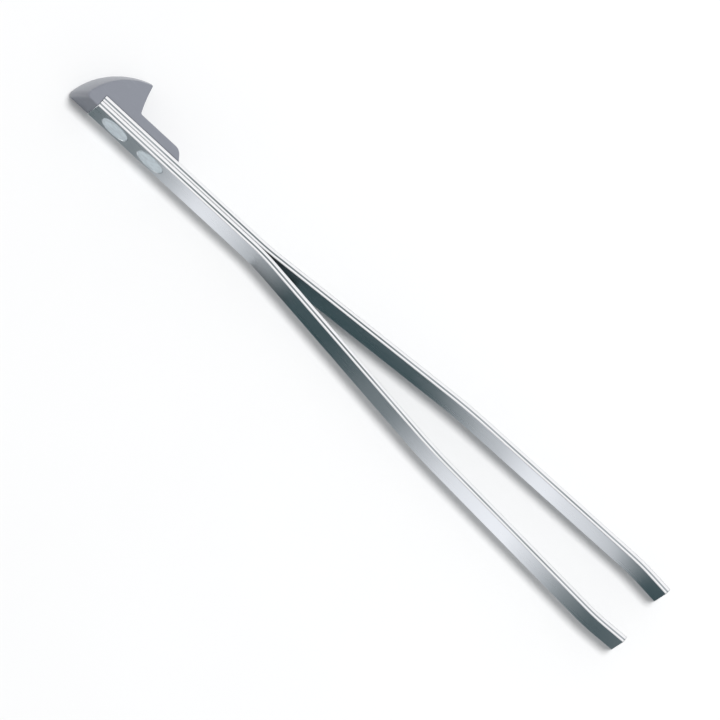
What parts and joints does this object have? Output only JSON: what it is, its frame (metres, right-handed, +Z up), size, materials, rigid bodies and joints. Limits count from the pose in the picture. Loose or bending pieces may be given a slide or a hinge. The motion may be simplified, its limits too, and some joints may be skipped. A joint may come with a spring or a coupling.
{
  "type": "tweezers",
  "caption": "Small slot-in pocket tweezers: two leaf-spring steel arms with squared tips, joined at one end in a plastic head with a finger-nail hook.",
  "frame": {"origin": "middle of the tweezers' footprint, on the flat side that they lie on", "axes": "+X from the head to the tips, along the jaws' middle line; +Y across the jaws to the side of the nail hook; +Z up, along the strips' width, from the flat side to the rounded side of the head"},
  "size_m": [0.045, 0.0056, 0.0023],
  "materials": {
    "head_plastic": "satin moulded plastic, mid grey",
    "strip_steel": "bright stainless spring steel, finely brushed along its length, sheared edges",
    "stud_metal": "matte, slightly mottled"
  },
  "bodies": {
    "head": {"head_moulding": "head_plastic", "stud_side_root": "strip_steel", "hook_side_root": "strip_steel", "front_stud": "stud_metal", "rear_stud": "stud_metal"},
    "stud_side_jaw": {"stud_side_arm": "strip_steel"},
    "hook_side_jaw": {"hook_side_arm": "strip_steel"}
  },
  "joints": [
    {"name": "stud_side_flex", "type": "hinge", "parent": "head", "child": "stud_side_jaw", "pos_m": [-0.00252, -0.00119, 0.00117], "axis": [0, 0, 1], "range_deg": [0, 4.02], "stiffness_Nm_per_rad": 0.21},
    {"name": "hook_side_flex", "type": "hinge", "parent": "head", "child": "hook_side_jaw", "pos_m": [-0.00252, 0.0003, 0.00117], "axis": [0, 0, -1], "range_deg": [0, 4.02], "stiffness_Nm_per_rad": 0.21}
  ]
}
